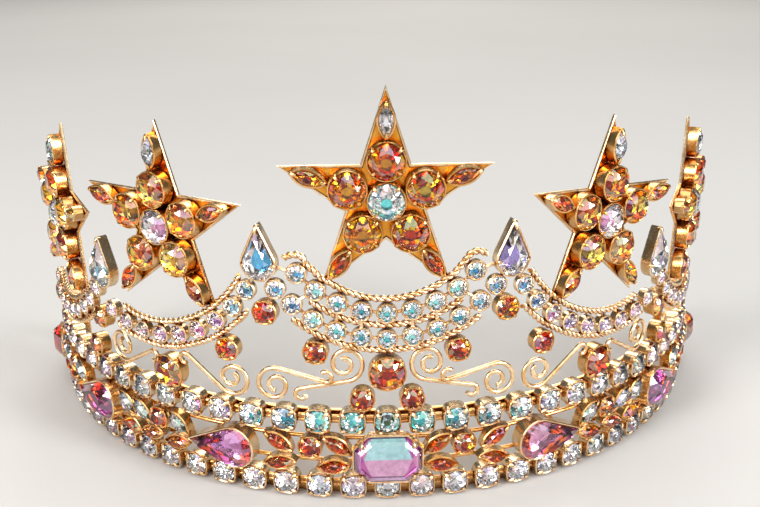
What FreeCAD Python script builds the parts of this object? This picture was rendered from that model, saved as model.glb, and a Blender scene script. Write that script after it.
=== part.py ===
import FreeCAD, Part
import math
import os
import Sketcher

# A pageant crown, open at the back: two cup chains carry a gallery of stones, scrolls and swags,
# and five stars stand on the swags.  Millimetres, +Z up, -Y is the front.
# The origin is the centre of the ring at the level of the surface that the crown stands on.
# Most pieces are laid out on the unrolled wall of the crown: "along" is the arc length from the
# centre front, positive towards +X, and "height" is measured from the middle of the lower chain.

V = FreeCAD.Vector
NO_TURN = FreeCAD.Rotation()

SIZES = {
    # ring and chains
    "lift": 2.8,
    "band_rad": 71.9,
    "crest_rad": 74.0,
    "chain_step": 4.89,
    "chain_side": 17,
    "row_gap": 13.3,
    "strip_thick": 0.75,
    "strip_tall": 2.4,
    "strip_angle": 85.4,
    "link_long": 1.28,
    "link_tall": 1.7,
    "link_thick": 0.9,
    "link_back": 0.6,
    # round stones: radius, wall of the cup, cup height, seat depth under the rim, crown height
    "chain_stone": 2.2,
    "chain_wall": 0.25,
    "chain_cup": 2.6,
    "chain_crown": 0.9,
    "swag_stone": 1.55,
    "swag_wall": 0.29,
    "swag_cup": 1.6,
    "swag_crown": 0.6,
    "star_stone": 3.1,
    "star_wall": 0.25,
    "star_cup": 2.5,
    "star_crown": 1.2,
    "small_stone": 2.02,
    "small_wall": 0.26,
    "small_cup": 2.3,
    "small_crown": 0.85,
    "seat_lip": 0.35,
    "seat_floor": 0.45,
    "seat_play": 0.02,
    "seat_narrow": 0.3,
    "round_table": 0.55,
    # long stones: length, width, cup height, crown height
    "cup_wall": 0.35,
    "cup_floor": 0.6,
    "long_table": 0.6,
    "pear_long": 13.4,
    "pear_wide": 7.7,
    "pear_cup": 3.1,
    "pear_crown": 1.7,
    "peak_long": 9.6,
    "peak_wide": 5.7,
    "peak_cup": 2.2,
    "peak_crown": 1.3,
    "leaf_long": 5.6,
    "leaf_wide": 2.45,
    "leaf_cup": 2.1,
    "leaf_crown": 0.9,
    "octagon_long": 12.2,
    "octagon_wide": 9.2,
    "octagon_cut": 2.5,
    "octagon_cup": 3.9,
    "octagon_step": 2.45,
    "octagon_waist": 1.0,
    "octagon_crown": 1.2,
    # wires
    "rope_rad": 0.56,
    "scroll_wire": 0.43,
    "coil_start": 1.2,
    "coil_second": 1.6,
    "coil_third": 2.6,
    "coil_outer": 3.3,
    "scroll_slope": 11,
    "scroll_lead": 8.8,
    "hook_rad": 1.0,
    "hook_turn": 235,
    # stars
    "star_tip": 18.9,
    "star_thick": 0.6,
    "star_inset": 2.0,
    "star_round": 6.8,
    "star_leaf": 13.5,
    # ends
    "eye_outer": 2.6,
    "eye_hole": 1.3,
    "eye_thick": 1.2,
    "post_wide": 1.4,
    # wires behind the gallery
    "bearer_rad": 0.4,
    "bearer_at": 72.6,
    "bearer_low": 4.5,
    "bearer_high": 9.3,
}

SIDES = (-1, 1)

# A wall about a point reaches further out than its thickness, by this factor; a wall about a
# corner cut at 45 degrees lengthens the cut by the second one.
POINT_GROWTH = 1.6
CUT_GROWTH = round(2 - math.sqrt(2), 4)
# Radius of a pentagram's notches over that of its tips.
NOTCH = round((3 - math.sqrt(5)) / 2, 6)

# Turns of a pear setting on the left and on the right half.
POINTING_OUTWARDS = (180, 0)
POINTING_UP = (90, 90)

# Radial distance of each kind of setting's back from the axis of the crown.
GALLERY_BACK = 73.0
SWAG_BACK = 73.42
PEAK_BACK = 73.5
SCROLL_AT = 73.6

# Swags: (middle of the arcs, its height, radii of the arcs of rope wire)
CENTRE_SWAG = (0.0, 55.2)
SIDE_SWAG = (47.3, 53.3)
FAR_SWAG = (83.8, 48.0)
CENTRE_ROPES = (18.0, 22.9, 27.7)
SIDE_ROPES = (24.87, 29.73)
# Ends of the centre swag's top wire, and the small stones under the first peak, right half.
CENTRE_ENDS = [(18.0, 43.9), (16.8, 44.9)]
PEAK_STONES = [(19.3, 38.7), (24.7, 38.0)]

# Stars: name, azimuth in degrees, height of the middle, tilt towards +X in degrees
STARS = (
    ("centre_star", 0.0, 54.7, 0.0),
    ("left_star", -33.1, 47.3, -0.7),
    ("right_star", 33.4, 46.9, 5.0),
    ("far_left_star", -62.6, 41.7, 4.2),
    ("far_right_star", 64.0, 41.0, -5.8),
)

# Gallery between the chains, one side: (along, height) and the turn of leaf settings in degrees,
# counted outwards from the side nearest the centre front.
OCTAGON_HEIGHT = 7.2
GALLERY_PEARS = ((31.0, 6.65), (64.9, 6.65), (98.8, 6.65))
GALLERY_ROUNDS = ((14.0, 8.3), (45.9, 8.3), (79.8, 8.3))
AMBER_LEAVES = (
    (9.0, 8.8, 33), (9.8, 4.4, -6),
    (19.9, 8.8, 33), (19.8, 4.5, -8),
    (41.55, 4.2, -10), (48.05, 4.3, -12), (54.4, 4.2, 11),
    (75.45, 4.2, -10), (81.95, 4.3, -12), (88.3, 4.2, 11),
)
CLEAR_LEAVES = (
    (41.0, 8.4, 40), (50.5, 8.4, 36), (55.2, 8.6, 38),
    (74.9, 8.4, 40), (84.4, 8.4, 36), (89.1, 8.6, 38),
)

PEAK_PEARS = ((21.8, 45.1), (58.6, 37.1))
DROP_ROUNDS = ((21.3, 34.2), (61.4, 25.2))
CONNECTORS = ((4.4, 18.3), (12.5, 27.3), (28.9, 26.3), (64.2, 18.3), (98.0, 18.4))
LARGE_CONNECTORS = ((-42.1, 19.2), (0.0, 23.5), (42.1, 19.2))

# Scrolls, left half: (along, height, heading of the straight stretch, mirrored)
SCROLLS = {
    "outer_scrolls": (-20.4, 19.7, -11, False),
    "inner_scrolls": (-7.6, 24.5, 191, False),
    "side_scrolls": (-29.0, 19.9, 140, False),
    "rear_scrolls": (-56.2, 20.3, 30, True),
}

document = FreeCAD.newDocument("Crown")
sheet = document.addObject("Spreadsheet::Sheet", "Sizes")
parts = []


def fill_sheet():
    """One row for each driving size: its name, its value and an alias of the same name."""
    for row, (name, value) in enumerate(SIZES.items(), start=1):
        sheet.set(f"A{row}", name)
        sheet.set(f"B{row}", str(value))
        sheet.setAlias(f"B{row}", name)
    document.recompute()


def size(text):
    """The value of an expression in the sheet's names, where each name is written as $name."""
    return float(sheet.evalExpression(bound(text)))


def bound(text):
    """The expression as FreeCAD reads it, with each $name as a cell of the sheet."""
    return text.replace("$", "Sizes.")


def origin_plane(body, role):
    return next(f for f in body.Origin.OriginFeatures if f.Role == role)


def new_body(name):
    return document.addObject("PartDesign::Body", name)


def new_sketch(body, name, role="XY_Plane", lift="0"):
    """A sketch on one of its body's own origin planes, raised by an expression."""
    sketch = body.newObject("Sketcher::SketchObject", name)
    sketch.AttachmentSupport = [(origin_plane(body, role), "")]
    sketch.MapMode = "FlatFace"
    if lift != "0":
        sketch.setExpression("AttachmentOffset.Base.z", bound(lift))
    return sketch


def pin(sketch, kind, geometry, point, text):
    """Binds one coordinate of a sketch point to an expression."""
    index = sketch.addConstraint(Sketcher.Constraint(kind, -1, 1, geometry, point, size(text)))
    sketch.setExpression(f"Constraints[{index}]", bound(text))


def pin_point(sketch, geometry, point, corner):
    pin(sketch, "DistanceX", geometry, point, corner[0])
    pin(sketch, "DistanceY", geometry, point, corner[1])


def pin_radius(sketch, geometry, text):
    index = sketch.addConstraint(Sketcher.Constraint("Radius", geometry, size(text)))
    sketch.setExpression(f"Constraints[{index}]", bound(text))


def spot(corner):
    return V(size(corner[0]), size(corner[1]), 0)


def arc_edge(start, end, centre, radius, clockwise=False):
    """An arc between two corners about a centre, the short way round in the given sense."""
    first, last = (end, start) if clockwise else (start, end)
    middle = spot(centre)
    angles = [math.atan2(p.y - middle.y, p.x - middle.x) for p in (spot(first), spot(last))]
    return Part.ArcOfCircle(Part.Circle(middle, V(0, 0, 1), size(radius)), *angles)


def draw_outline(sketch, corners, arcs=None):
    """A closed outline, counter-clockwise.  arcs holds {corner index: (centre, radius)} for the
    edges that start at a corner and bulge outwards; every other edge is straight."""
    arcs = arcs or {}
    count = len(corners)
    for index, corner in enumerate(corners):
        following = corners[(index + 1) % count]
        if index in arcs:
            edge = arc_edge(corner, following, *arcs[index])
        else:
            edge = Part.LineSegment(spot(corner), spot(following))
        sketch.addGeometry(edge, False)
    for index in range(count):
        sketch.addConstraint(Sketcher.Constraint("Coincident", index, 2, (index + 1) % count, 1))
        pin_point(sketch, index, 1, corners[index])
    for index, (_, radius) in arcs.items():
        pin_radius(sketch, index, radius)


def draw_circle(sketch, centre, radius):
    circle = sketch.addGeometry(Part.Circle(spot(centre), V(0, 0, 1), size(radius)), False)
    pin_point(sketch, circle, 3, centre)
    pin_radius(sketch, circle, radius)


def add_pad(body, name, sketch, length):
    pad = body.newObject("PartDesign::Pad", name)
    pad.Profile = sketch
    pad.setExpression("Length", bound(length))
    return pad


def add_pocket(body, name, sketch, depth):
    """A pocket that goes down from its sketch; it has to take material away."""
    document.recompute()
    before = body.Shape.Volume
    pocket = body.newObject("PartDesign::Pocket", name)
    pocket.Profile = sketch
    pocket.setExpression("Length", bound(depth))
    document.recompute()
    if body.Shape.Volume >= before:
        raise ValueError(f"{name} removes nothing")


def add_revolution(body, name, sketch, axis, angle="360"):
    turned = body.newObject("PartDesign::Revolution", name)
    turned.Profile = sketch
    turned.ReferenceAxis = (sketch, [axis])
    turned.setExpression("Angle", bound(angle))
    return turned


# ---------------------------------------------------------------- outlines of the stones


def rectangle(half_wide, low, high):
    """A rectangle with its middle on the Y axis."""
    return [(f"-{half_wide}", low), (half_wide, low), (half_wide, high), (f"-{half_wide}", high)]


def teardrop(long, wide, grow="0"):
    """A round end at -X and a point at +X, grown outwards by a wall."""
    radius = f"({wide} / 2 + {grow})"
    centre = f"({wide} / 2 - {long} / 2)"
    reach = f"(({long} - {wide} / 2 + {grow} * {POINT_GROWTH}))"
    touch_x = f"({centre} + {radius} * {radius} / {reach})"
    touch_y = f"({radius} * sqrt(1 - ({radius} / {reach}) ^ 2))"
    corners = [(f"{centre} + {reach}", "0"), (touch_x, touch_y), (touch_x, f"-{touch_y}")]
    return corners, {1: ((centre, "0"), radius)}


def navette(long, wide, grow="0"):
    """Two equal arcs that meet in points at -X and +X."""
    half = f"({long} / 2 + {grow} * {POINT_GROWTH})"
    rise = f"({wide} / 2 + {grow})"
    radius = f"(({half} ^ 2 + {rise} ^ 2) / (2 * {rise}))"
    corners = [(half, "0"), (f"-{half}", "0")]
    drop = f"({radius} - {rise})"
    return corners, {0: (("0", f"-{drop}"), radius), 1: (("0", drop), radius)}


def octagon(long, wide, cut, grow="0"):
    """A rectangle with its corners cut at 45 degrees."""
    half_x = f"({long} / 2 + {grow})"
    half_y = f"({wide} / 2 + {grow})"
    nick = f"({cut} + {grow} * {CUT_GROWTH})"
    near_x = f"({half_x} - {nick})"
    near_y = f"({half_y} - {nick})"
    right = [(half_x, f"-{near_y}"), (half_x, near_y)]
    top = [(near_x, half_y), (f"-{near_x}", half_y)]
    left = [(f"-{half_x}", near_y), (f"-{half_x}", f"-{near_y}")]
    bottom = [(f"-{near_x}", f"-{half_y}"), (near_x, f"-{half_y}")]
    return right + top + left + bottom, {}


def five_points(tip):
    """A pentagram's outline with one point up (+Y); its notches lie where its long sides cross."""
    corners = []
    for index in range(10):
        radius = tip if index % 2 == 0 else f"{tip} * {NOTCH}"
        angle = 90 + 36 * index
        corners.append((f"{radius} * cos({angle})", f"{radius} * sin({angle})"))
    return corners, {}


# ---------------------------------------------------------------- one of each piece


def round_cup(kind):
    """The cup of a round stone: a turned piece with a conical seat and a short lip."""
    body = new_body(f"{kind}_cup_pattern")
    stone, wall, cup = f"${kind}_stone", f"${kind}_wall", f"${kind}_cup"
    profile = new_sketch(body, f"{kind}_cup_profile", "XZ_Plane")
    corners = [
        ("0", "0"),
        (f"{stone} + {wall}", "0"),
        (f"{stone} + {wall}", cup),
        (stone, cup),
        (stone, f"{cup} - $seat_lip"),
        (f"{stone} * $seat_narrow", "$seat_floor"),
        ("0", "$seat_floor"),
    ]
    draw_outline(profile, corners)
    add_revolution(body, f"{kind}_cup_turned", profile, "V_Axis")
    return body


def round_stone(kind):
    """A round stone: pavilion on the conical seat, girdle inside the lip, crown and table."""
    body = new_body(f"{kind}_stone_pattern")
    stone, cup = f"(${kind}_stone - $seat_play)", f"${kind}_cup"
    profile = new_sketch(body, f"{kind}_stone_profile", "XZ_Plane")
    corners = [
        ("0", "$seat_floor + $seat_play"),
        (f"{stone} * $seat_narrow", "$seat_floor + $seat_play"),
        (stone, f"{cup} - $seat_lip + $seat_play"),
        (stone, cup),
        (f"{stone} * $round_table", f"{cup} + ${kind}_crown"),
        ("0", f"{cup} + ${kind}_crown"),
    ]
    draw_outline(profile, corners)
    add_revolution(body, f"{kind}_stone_turned", profile, "V_Axis")
    return body


def long_cup(kind, shape, outer_shape):
    """The cup of a pear, navette or octagon stone: an outline raised to the rim, with a pocket."""
    body = new_body(f"{kind}_cup_pattern")
    outside = new_sketch(body, f"{kind}_cup_outline")
    draw_outline(outside, *outer_shape)
    add_pad(body, f"{kind}_cup_wall", outside, f"${kind}_cup")
    inside = new_sketch(body, f"{kind}_cup_inside", lift=f"${kind}_cup")
    draw_outline(inside, *shape)
    add_pocket(body, f"{kind}_cup_pocket", inside, f"${kind}_cup - $cup_floor")
    return body


def stepped_cup(kind, shape, outer_shape, waist_shape):
    """A cup whose back is narrower than its rim, so that it sits between the chains and its rim
    stands in front of them."""
    body = new_body(f"{kind}_cup_pattern")
    waist = new_sketch(body, f"{kind}_cup_waist")
    draw_outline(waist, *waist_shape)
    add_pad(body, f"{kind}_cup_back", waist, f"${kind}_step")
    outside = new_sketch(body, f"{kind}_cup_outline", lift=f"${kind}_step")
    draw_outline(outside, *outer_shape)
    add_pad(body, f"{kind}_cup_wall", outside, f"${kind}_cup - ${kind}_step")
    inside = new_sketch(body, f"{kind}_cup_inside", lift=f"${kind}_cup")
    draw_outline(inside, *shape)
    add_pocket(body, f"{kind}_cup_pocket", inside, f"${kind}_cup - ${kind}_step - $seat_lip")
    return body


def long_stone(kind, shape, table_shape, floor="$cup_floor"):
    """A pear, navette or octagon stone: a body in the pocket and a crown up to a smaller table."""
    body = new_body(f"{kind}_stone_pattern")
    girdle = new_sketch(body, f"{kind}_stone_outline", lift=floor)
    draw_outline(girdle, *shape)
    add_pad(body, f"{kind}_stone_body", girdle, f"${kind}_cup - ({floor})")
    rim = new_sketch(body, f"{kind}_stone_rim", lift=f"${kind}_cup")
    draw_outline(rim, *shape)
    table = new_sketch(body, f"{kind}_stone_table", lift=f"${kind}_cup + ${kind}_crown")
    draw_outline(table, *table_shape)
    crown = body.newObject("PartDesign::AdditiveLoft", f"{kind}_stone_crown")
    crown.Profile = rim
    crown.Sections = [table]
    crown.Ruled = True
    return body


def long_pair(kind, outline, *sides):
    """Cup and stone of one long shape; the octagon's cup is the stepped one."""
    names = [f"${kind}_{side}" for side in sides]
    small = [f"({name} - 2 * $seat_play)" for name in names]
    table = [f"({name} * $long_table)" for name in small]
    shape, rim = outline(*names), outline(*names, grow="$cup_wall")
    if kind == "octagon":
        cup = stepped_cup(kind, shape, rim, outline(*names, grow="-$octagon_waist"))
        return cup, long_stone(kind, outline(*small), outline(*table), "$octagon_step + $seat_lip")
    return long_cup(kind, shape, rim), long_stone(kind, outline(*small), outline(*table))


def chain_link():
    """The short bar that joins two cups of a chain, across the gap between them."""
    body = new_body("chain_link_pattern")
    sketch = new_sketch(body, "chain_link_outline")
    draw_outline(sketch, rectangle("$link_long / 2", "-$link_tall / 2", "$link_tall / 2"))
    add_pad(body, "chain_link_bar", sketch, "$link_thick")
    return body


def star_plate():
    """A flat stamped star whose back lies in the plane of its placement."""
    body = new_body("star_plate_pattern")
    sketch = new_sketch(body, "star_plate_outline")
    draw_outline(sketch, *five_points("$star_tip"))
    add_pad(body, "star_plate_sheet", sketch, "$star_thick")
    return body


def end_post():
    """The bar that closes an open end: it joins both strips and both bearer wires."""
    body = new_body("end_post_pattern")
    sketch = new_sketch(body, "end_post_outline")
    draw_outline(sketch, rectangle("$post_wide / 2", "-$lift", "($row_gap + $strip_tall / 2)"))
    add_pad(body, "end_post_bar", sketch, "$bearer_at + $bearer_rad - $band_rad + $strip_thick")
    return body


def end_eye():
    """The flat eye soldered to the bar at each open end, for a hairpin or a ribbon."""
    body = new_body("end_eye_pattern")
    disc = new_sketch(body, "end_eye_outline")
    draw_circle(disc, ("0", "0"), "$eye_outer")
    add_pad(body, "end_eye_disc", disc, "$eye_thick")
    hole = new_sketch(body, "end_eye_opening", lift="$eye_thick")
    draw_circle(hole, ("0", "0"), "$eye_hole")
    add_pocket(body, "end_eye_bore", hole, "$eye_thick")
    return body


def scroll_wire():
    """A flat scroll: a coil that opens clockwise through half turns of growing radius, a straight
    stretch that leaves it at the top, and a small hook that turns the other way."""
    body = new_body("scroll_pattern")
    path = new_sketch(body, "scroll_path")
    centres = ["0", "($coil_second - $coil_start)"]
    centres.append("(2 * $coil_second - $coil_start - $coil_third)")
    left = "(2 * $coil_second - $coil_start - 2 * $coil_third)"
    centres.append(f"({left} + $coil_outer)")
    right = "(2 * $coil_second - $coil_start)"
    leave = (f"{centres[3]} + $coil_outer * sin($scroll_slope)", "$coil_outer * cos($scroll_slope)")
    stop_x = f"{leave[0]} + $scroll_lead * cos($scroll_slope)"
    stop = (stop_x, f"{leave[1]} - $scroll_lead * sin($scroll_slope)")
    hook = (f"{stop[0]} + $hook_rad * sin($scroll_slope)", f"{stop[1]} + $hook_rad * cos($scroll_slope)")
    last_angle = "($hook_turn - 90 - $scroll_slope)"
    tip = (f"{hook[0]} + $hook_rad * cos{last_angle}", f"{hook[1]} + $hook_rad * sin{last_angle}")
    corners = [("0", "-$coil_start"), ("-$coil_start", "0"), (right, "0"), (left, "0"), leave, stop, tip]
    edges = [
        arc_edge(corners[0], corners[1], (centres[0], "0"), "$coil_start", clockwise=True),
        arc_edge(corners[1], corners[2], (centres[1], "0"), "$coil_second", clockwise=True),
        arc_edge(corners[2], corners[3], (centres[2], "0"), "$coil_third", clockwise=True),
        arc_edge(corners[3], corners[4], (centres[3], "0"), "$coil_outer", clockwise=True),
        Part.LineSegment(spot(corners[4]), spot(corners[5])),
        arc_edge(corners[5], corners[6], hook, "$hook_rad"),
    ]
    # A clockwise arc starts, for the sketcher, at its far end.
    starts = [2, 2, 2, 2, 1, 1]
    for edge in edges:
        path.addGeometry(edge, False)
    for index, start in enumerate(starts):
        end = 3 - start
        pin_point(path, index, start, corners[index])
        if index + 1 < len(edges):
            following = index + 1
            joint = Sketcher.Constraint("Coincident", index, end, following, starts[following])
            path.addConstraint(joint)
    pin_point(path, 5, 2, corners[6])
    for index in range(4):
        pin(path, "DistanceY", index, 3, "0")
    pin_radius(path, 5, "$hook_rad")
    section = new_sketch(body, "scroll_section", "YZ_Plane")
    draw_circle(section, ("-$coil_start", "0"), "$scroll_wire")
    pipe = body.newObject("PartDesign::AdditivePipe", "scroll_pipe")
    pipe.Profile = section
    pipe.Spine = path
    pipe.Mode = "Standard"
    pipe.Transition = "Transformed"
    return body


# ---------------------------------------------------------------- places on the wall


def seat(azimuth, height, radius, turn=0):
    """A place on the wall: the piece's +Z points outwards, its +Y up and its +X towards +X.
    turn then spins it in its own plane, counter-clockwise as seen from outside."""
    angle = math.radians(azimuth)
    out = V(math.sin(angle), -math.cos(angle), 0)
    along = V(math.cos(angle), math.sin(angle), 0)
    base = FreeCAD.Rotation(along, V(0, 0, 1), out, "ZXY")
    spin = FreeCAD.Rotation(V(0, 0, 1), turn)
    return FreeCAD.Placement(out * radius + V(0, 0, height + size("$lift")), base.multiply(spin))


def on_wall(along, height, radius, turn=0):
    """The same, for a place given by its length along the unrolled wall."""
    return seat(math.degrees(along / size("$crest_rad")), height, radius, turn)


def mirrored_pairs(spots, radius, turns=(0, 0)):
    """Each spot on both halves of the wall, with the turn of its half."""
    result = []
    for along, height in spots:
        for side, turn in zip(SIDES, turns):
            result.append(on_wall(side * along, height, radius, turn))
    return result


def leaf_places(leaves):
    """Leaf settings of both halves; the outer end is up by the turn on the right half."""
    result = []
    for along, height, turn in leaves:
        for side in SIDES:
            result.append(on_wall(side * along, height, GALLERY_BACK, side * turn))
    return result


def chain_places(height):
    reach = int(size("$chain_side"))
    step = size("$chain_step")
    return [seat(step * number, height, size("$band_rad")) for number in range(-reach, reach + 1)]


def link_places(height):
    reach = int(size("$chain_side"))
    step = size("$chain_step")
    radius = size("$band_rad + $link_back")
    return [seat(step * (number + 0.5), height, radius) for number in range(-reach, reach)]


def arc_spots(swag, radius, angles):
    """Spots on an arc of the unrolled wall; angles in degrees from straight down, towards +X."""
    middle, level = swag
    result = []
    for angle in angles:
        swing = math.radians(angle)
        result.append((middle + radius * math.sin(swing), level - radius * math.cos(swing)))
    return result


def even_angles(first, last, count):
    return [first + (last - first) * index / (count - 1) for index in range(count)]


def star_frame(star):
    _, azimuth, height, tilt = star
    return seat(azimuth, height, size("$crest_rad") - size("$star_inset"), -tilt)


def star_spots(distance, lift):
    """The five places at one distance from a star's middle, on every star."""
    result = []
    for star in STARS:
        for index in range(5):
            spin = FreeCAD.Rotation(V(0, 0, 1), 90 + 72 * index)
            local = FreeCAD.Placement(spin.multVec(V(distance, 0, 0)) + V(0, 0, lift), spin)
            result.append(star_frame(star).multiply(local))
    return result


# ---------------------------------------------------------------- nodes


def keep(label, source):
    """Marks an object as a sub-part of the crown."""
    source.Label = label
    parts.append(source)


def group(label, pattern, places):
    """A node that holds one copy of a pattern piece at each place."""
    copies = document.addObject("App::Link", f"{label}_places")
    copies.setLink(pattern)
    copies.ShowElement = False
    copies.ElementCount = len(places)
    copies.PlacementList = places
    node = document.addObject("Part::Compound", label)
    node.Links = [copies]
    keep(label, node)


def strip(label, height):
    """The thin flat strip soldered behind a chain, an arc of a ring."""
    body = new_body(label)
    profile = new_sketch(body, f"{label}_profile", "YZ_Plane")
    inner, outer = "-($band_rad - $strip_thick)", "-$band_rad"
    low, high = f"($lift + {height} - $strip_tall / 2)", f"($lift + {height} + $strip_tall / 2)"
    draw_outline(profile, [(outer, low), (inner, low), (inner, high), (outer, high)])
    turned = add_revolution(body, f"{label}_bent", profile, "V_Axis", "2 * $strip_angle")
    turned.Midplane = True
    keep(label, body)


def bearer(label, height):
    """A thin round wire behind the gallery, which its settings are soldered to."""
    body = new_body(label)
    section = new_sketch(body, f"{label}_section", "YZ_Plane")
    draw_circle(section, ("-$bearer_at", f"$lift + {height}"), "$bearer_rad")
    turned = add_revolution(body, f"{label}_bent", section, "V_Axis", "2 * $strip_angle")
    turned.Midplane = True
    keep(label, body)


def rope(label, runs):
    """Round wires bent along the wall, each through its own list of spots."""
    wires = []
    for number, spots in enumerate(runs, start=1):
        points = [on_wall(along, height, size("$crest_rad")).Base for along, height in spots]
        curve = Part.BSplineCurve()
        curve.interpolate(points)
        spine = document.addObject("Part::Feature", f"{label}_path_{number}")
        spine.Shape = Part.Wire([curve.toShape()])
        section = document.addObject("Part::Circle", f"{label}_section_{number}")
        section.setExpression("Radius", bound("$rope_rad"))
        start = curve.tangent(curve.FirstParameter)[0]
        section.Placement = FreeCAD.Placement(points[0], FreeCAD.Rotation(V(0, 0, 1), start))
        sweep = document.addObject("Part::Sweep", f"{label}_wire_{number}")
        sweep.Sections = [section]
        sweep.Spine = (spine, ["Edge1"])
        sweep.Solid = True
        sweep.Frenet = False
        wires.append(sweep)
    if len(wires) == 1:
        keep(label, wires[0])
        return
    node = document.addObject("Part::Compound", label)
    node.Links = wires
    keep(label, node)


def mirrored(spots):
    return [[(side * along, height) for along, height in spots] for side in SIDES]


def band():
    """The two chains with their strips and links, and the gallery of stones between them."""
    row = size("$row_gap")
    cup, stone, link = round_cup("chain"), round_stone("chain"), chain_link()
    for name, height, low in (("lower", 0, "-($lift - $strip_tall / 2)"), ("upper", row, "$row_gap")):
        strip(f"{name}_band_strip", low)
        group(f"{name}_chain_cups", cup, chain_places(height))
        group(f"{name}_chain_links", link, link_places(height))
        group(f"{name}_chain_stones", stone, chain_places(height))


def gallery(small_cup, small_stone, leaf_cup, leaf_stone):
    """Octagon, pears, leaves and rounds between the chains."""
    bearer("lower_bearer_wire", "$bearer_low")
    bearer("upper_bearer_wire", "$bearer_high")
    cup, stone = long_pair("octagon", octagon, "long", "wide", "cut")
    place = [on_wall(0, OCTAGON_HEIGHT, GALLERY_BACK)]
    group("octagon_cup", cup, place)
    group("octagon_stone", stone, place)
    cup, stone = long_pair("pear", teardrop, "long", "wide")
    places = mirrored_pairs(GALLERY_PEARS, GALLERY_BACK, POINTING_OUTWARDS)
    group("gallery_pear_cups", cup, places)
    group("gallery_pear_stones", stone, places)
    rounds = mirrored_pairs(GALLERY_ROUNDS, GALLERY_BACK)
    group("gallery_round_cups", small_cup, rounds)
    group("gallery_round_stones", small_stone, rounds)
    group("gallery_leaf_cups", leaf_cup, leaf_places(AMBER_LEAVES + CLEAR_LEAVES))
    group("amber_leaf_stones", leaf_stone, leaf_places(AMBER_LEAVES))
    group("clear_leaf_stones", leaf_stone, leaf_places(CLEAR_LEAVES))


def swags():
    """Rope wires and the rows of small stones that hang between the peaks."""
    cup, stone = round_cup("swag"), round_stone("swag")
    top, middle, bottom = CENTRE_ROPES
    left_peak = [(-along, height) for along, height in CENTRE_ENDS]
    crest = left_peak + arc_spots(CENTRE_SWAG, top, even_angles(-55, 55, 15)) + CENTRE_ENDS[::-1]
    rope("centre_swag_top_rope", [crest])
    rope("centre_swag_middle_rope", [arc_spots(CENTRE_SWAG, middle, even_angles(-37, 37, 9))])
    rope("centre_swag_bottom_rope", [arc_spots(CENTRE_SWAG, bottom, even_angles(-38, 38, 9))])
    upper, lower = SIDE_ROPES
    for name, swag, first, last in (("side", SIDE_SWAG, -50, 17), ("far", FAR_SWAG, -40, 24)):
        top_arc = arc_spots(swag, upper, even_angles(-60, last, 11))
        bottom_arc = arc_spots(swag, lower, even_angles(first, last + 2, 11))
        rope(f"{name}_swag_top_ropes", mirrored(top_arc))
        rope(f"{name}_swag_bottom_ropes", mirrored(bottom_arc))
    centre = arc_spots(CENTRE_SWAG, (top + middle) / 2, even_angles(-49, 49, 9))
    centre += arc_spots(CENTRE_SWAG, (middle + bottom) / 2, even_angles(-40.5, 40.5, 9))
    places = [on_wall(along, height, SWAG_BACK) for along, height in centre]
    group("centre_swag_cups", cup, places)
    group("centre_swag_stones", stone, places)
    middle_arc = (upper + lower) / 2
    side = PEAK_STONES + arc_spots(SIDE_SWAG, middle_arc, even_angles(-46.5, 21.5, 8))
    side += arc_spots(FAR_SWAG, middle_arc, even_angles(-51, 24, 9))
    places = mirrored_pairs(side, SWAG_BACK)
    group("side_swag_cups", cup, places)
    group("side_swag_stones", stone, places)


def peaks(small_cup, small_stone):
    """The upright pears between the stars and the round stone under each."""
    cup, stone = long_pair("peak", teardrop, "long", "wide")
    places = mirrored_pairs(PEAK_PEARS, PEAK_BACK, POINTING_UP)
    group("peak_pear_cups", cup, places)
    group("peak_pear_stones", stone, places)
    places = mirrored_pairs(DROP_ROUNDS, GALLERY_BACK)
    group("drop_round_cups", small_cup, places)
    group("drop_round_stones", small_stone, places)


def connectors(small_cup, small_stone, star_cup, star_stone):
    """The round stones and scrolls that carry the swags on the upper chain."""
    places = mirrored_pairs(CONNECTORS, GALLERY_BACK)
    group("connector_cups", small_cup, places)
    group("connector_stones", small_stone, places)
    places = [on_wall(along, height, GALLERY_BACK) for along, height in LARGE_CONNECTORS]
    group("large_connector_cups", star_cup, places)
    group("large_connector_stones", star_stone, places)
    pattern = scroll_wire()
    slope = size("$scroll_slope")
    flip = FreeCAD.Placement(V(0, 0, 0), FreeCAD.Rotation(V(0, 1, 0), 180))
    for name, (along, height, heading, turned) in SCROLLS.items():
        places = []
        for side in SIDES:
            over = turned if side < 0 else not turned
            aim = heading if side < 0 else 180 - heading
            turn = aim - 180 - slope if over else aim + slope
            place = on_wall(-side * along, height, SCROLL_AT, turn)
            places.append(place.multiply(flip) if over else place)
        group(name, pattern, places)


def stars(star_cup, star_stone, leaf_cup, leaf_stone):
    """Five star plates, each with a ring of round stones about a middle one and leaves beyond."""
    plate = star_plate()
    for star in STARS:
        group(f"{star[0]}_plate", plate, [star_frame(star)])
    front = size("$star_thick")
    ring = star_spots(size("$star_round"), front)
    tips = star_spots(size("$star_leaf"), front)
    middles = [star_frame(star).multiply(FreeCAD.Placement(V(0, 0, front), NO_TURN)) for star in STARS]
    group("star_round_cups", star_cup, ring)
    group("star_round_stones", star_stone, ring)
    group("star_middle_cups", star_cup, middles)
    group("star_middle_stones", star_stone, middles)
    group("star_leaf_cups", leaf_cup, tips)
    group("star_leaf_stones", leaf_stone, tips)


def ends():
    """A bar and an eye at each open end."""
    radius = size("$band_rad") - size("$strip_thick")
    past_strip = size("$post_wide / 2")
    past_post = size("$post_wide + $eye_outer")
    for label, pattern, height, reach in (
        ("end_posts", end_post(), 0, past_strip),
        ("end_eyes", end_eye(), size("$row_gap / 2"), past_post),
    ):
        azimuth = size("$strip_angle") + math.degrees(reach / radius)
        group(label, pattern, [seat(side * azimuth, height, radius) for side in SIDES])


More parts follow.
